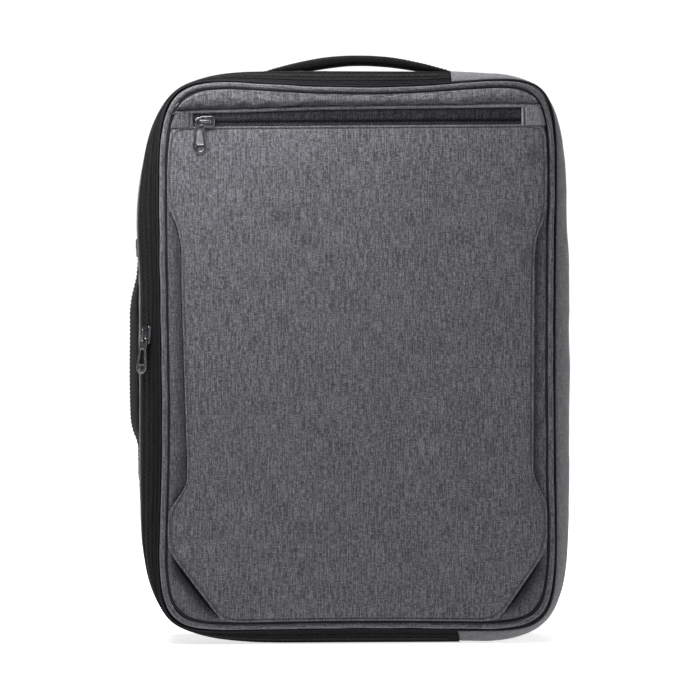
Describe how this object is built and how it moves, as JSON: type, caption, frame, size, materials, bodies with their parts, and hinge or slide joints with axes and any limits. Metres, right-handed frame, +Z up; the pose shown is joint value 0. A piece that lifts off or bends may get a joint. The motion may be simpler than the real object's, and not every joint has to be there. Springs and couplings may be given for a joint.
{
  "type": "convertible backpack",
  "caption": "Slim padded laptop backpack in grey heather cloth that also carries by its top or side handle, with a zipped clamshell opening and a zipped front pocket.",
  "frame": {"origin": "middle of the flat underside that the bag stands on", "axes": "+Z up, towards the top handle; the front with its zipped pocket faces -Y; +X is the side away from the side handle"},
  "size_m": [0.3332, 0.149, 0.4452],
  "materials": {
    "grey_cloth": "grey heather polyester weave",
    "black_cloth": "black webbing and padded cloth",
    "black_tape": "ribbed black zip tape",
    "black_mesh": "padded air mesh",
    "gunmetal": "gunmetal plated cast zinc",
    "black_plastic": "moulded black plastic"
  },
  "bodies": {
    "bag": {"front_panel": "grey_cloth", "back_panel": "grey_cloth", "front_piping": "grey_cloth", "rear_piping": "grey_cloth", "main_zip_band": "black_tape", "hinge_panel": "grey_cloth", "rear_gusset": "grey_cloth", "main_zip_coil": "black_tape", "main_zip_slider": "gunmetal", "front_pocket": "grey_cloth", "front_top_strip": "grey_cloth", "front_zip_tab_left": "grey_cloth", "front_zip_tab_right": "grey_cloth", "front_zip_tape": "black_tape", "front_zip_coil": "black_tape", "front_zip_slider": "gunmetal", "top_handle": "black_cloth", "side_handle": "black_cloth", "side_handle_tab_lower": "grey_cloth", "side_handle_tab_upper": "grey_cloth", "back_pad": "black_mesh", "strap_yoke": "black_cloth", "shoulder_strap_left": "black_cloth", "shoulder_strap_right": "black_cloth", "strap_buckle_left": "black_plastic", "strap_buckle_right": "black_plastic", "strap_webbing_left": "black_cloth", "strap_webbing_right": "black_cloth", "strap_foot_left": "black_cloth", "strap_foot_right": "black_cloth"},
    "front_puller": {"front_zip_puller": "gunmetal"},
    "main_puller": {"main_zip_puller": "gunmetal"}
  },
  "joints": [
    {"name": "front_puller_swing", "type": "hinge", "parent": "bag", "child": "front_puller", "pos_m": [-0.11745, -0.05752, 0.38821], "axis": [0, 1, 0], "range_deg": [-45, 75]},
    {"name": "main_puller_swing", "type": "hinge", "parent": "bag", "child": "main_puller", "pos_m": [-0.15884, -0.04464, 0.22805], "axis": [-0.6955, 0.7109, 0.1045], "range_deg": [0, 135]}
  ]
}
